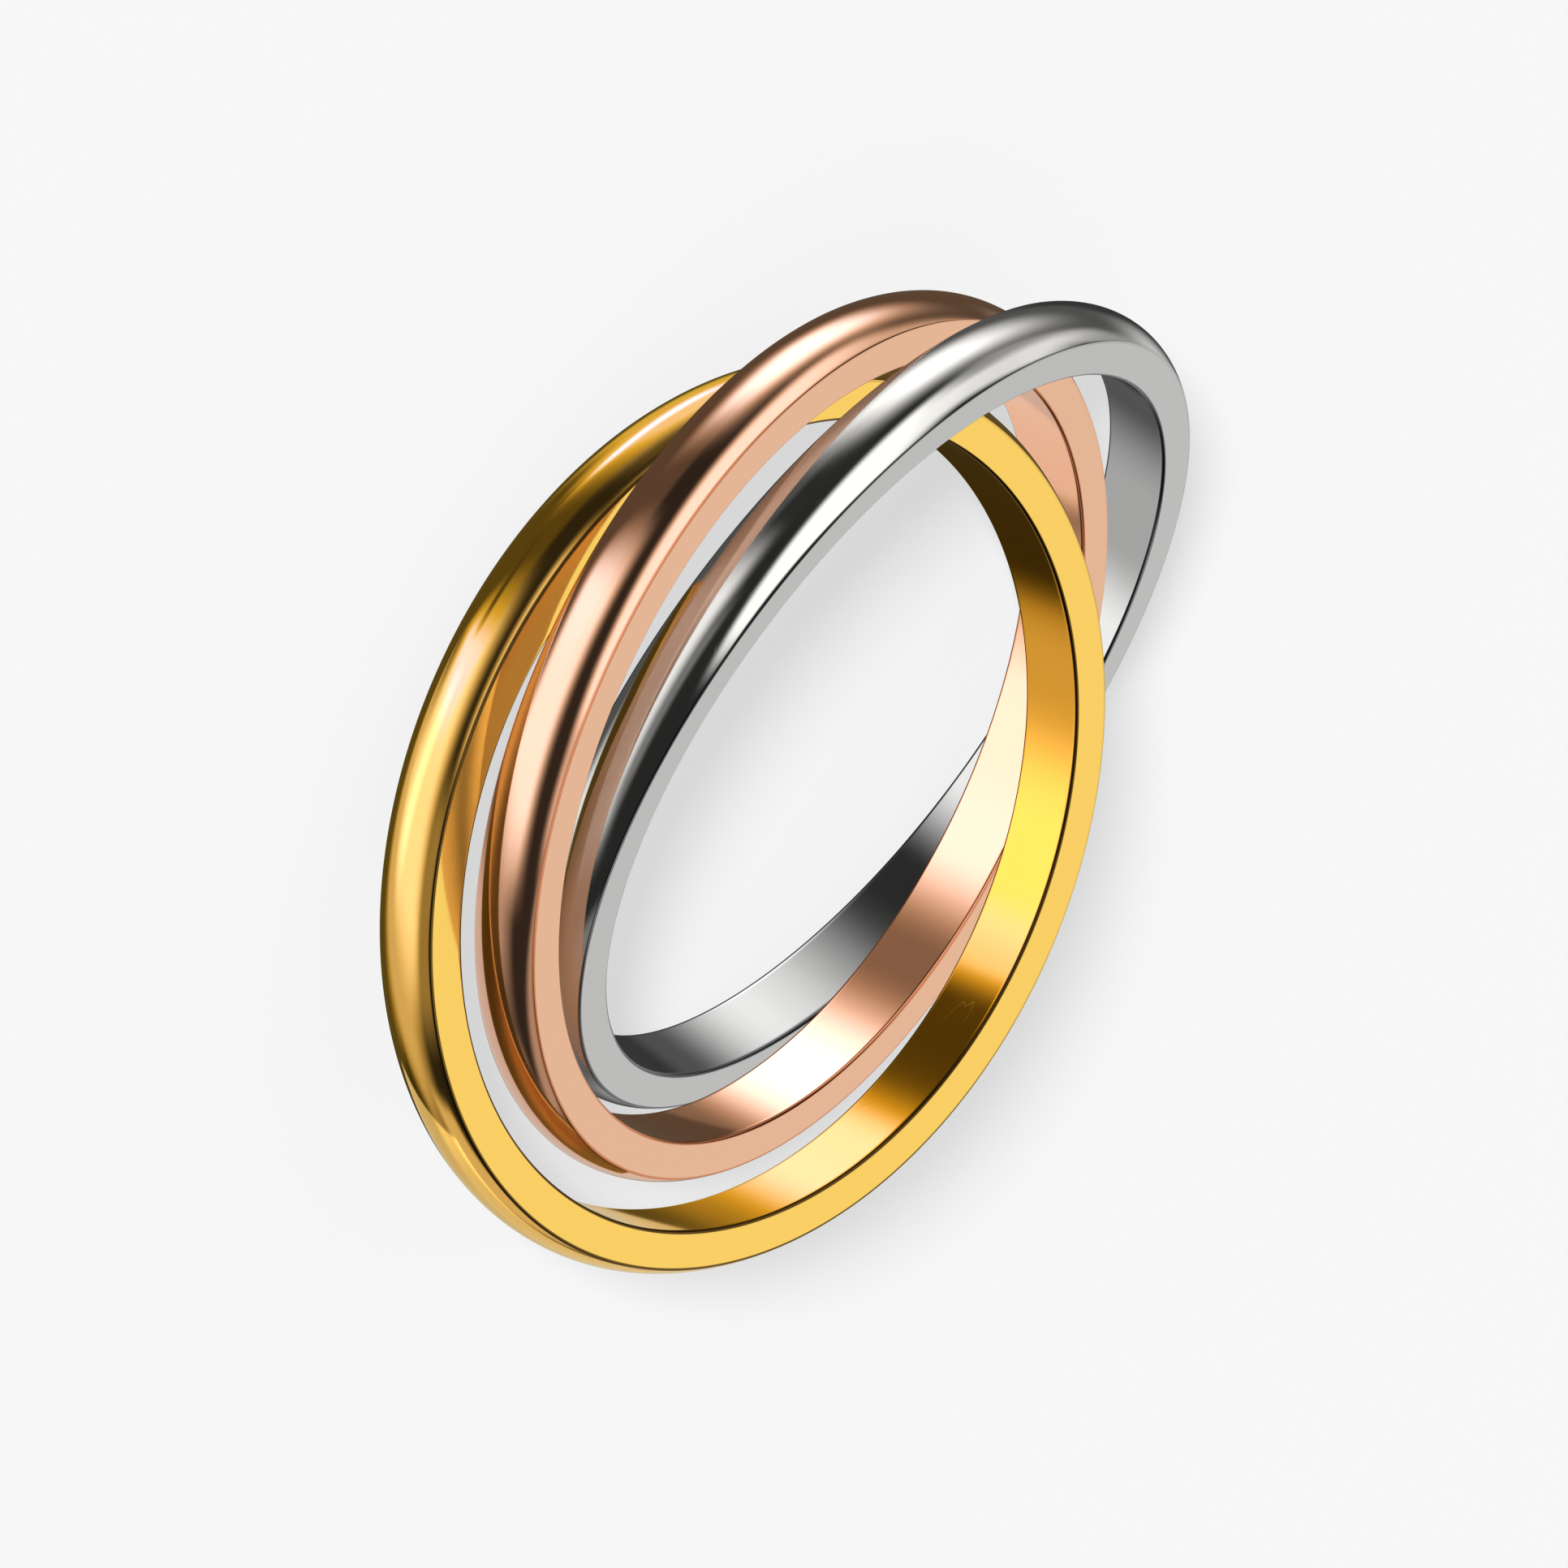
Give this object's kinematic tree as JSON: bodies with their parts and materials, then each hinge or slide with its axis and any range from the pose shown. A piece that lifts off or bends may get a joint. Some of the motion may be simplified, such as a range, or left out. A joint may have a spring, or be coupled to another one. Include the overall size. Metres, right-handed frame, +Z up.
{
  "type": "spinner ring",
  "caption": "Rolling finger ring of linked domed bands in yellow, rose and white gold, with flat bores and sides, lying loose on its side.",
  "frame": {"origin": "on the surface that the ring lies on, below the middle of its bounding box", "axes": "+Z up from the surface, within 13 degrees of every band's axis; X along the line on which the yellow and white bands are slid apart; +X towards the white band"},
  "size_m": [0.0234, 0.0206, 0.0057],
  "materials": {
    "yellow_gold": "polished yellow gold",
    "rose_gold": "polished rose gold",
    "white_gold": "polished white gold"
  },
  "bodies": {
    "rose": {"rose_band": "rose_gold"},
    "yellow": {"yellow_band": "yellow_gold"},
    "white": {"white_band": "white_gold"}
  },
  "joints": [
    {"name": "yellow_spin", "type": "hinge", "parent": "rose", "child": "yellow", "pos_m": [-0.00188, -0.00031, 0.00285], "axis": [0.0018, 0.2182, 0.9759], "continuous": true},
    {"name": "white_spin", "type": "hinge", "parent": "rose", "child": "white", "pos_m": [0.00188, -0.00054, 0.00254], "axis": [-0.0002, -0.1861, 0.9825], "continuous": true}
  ]
}
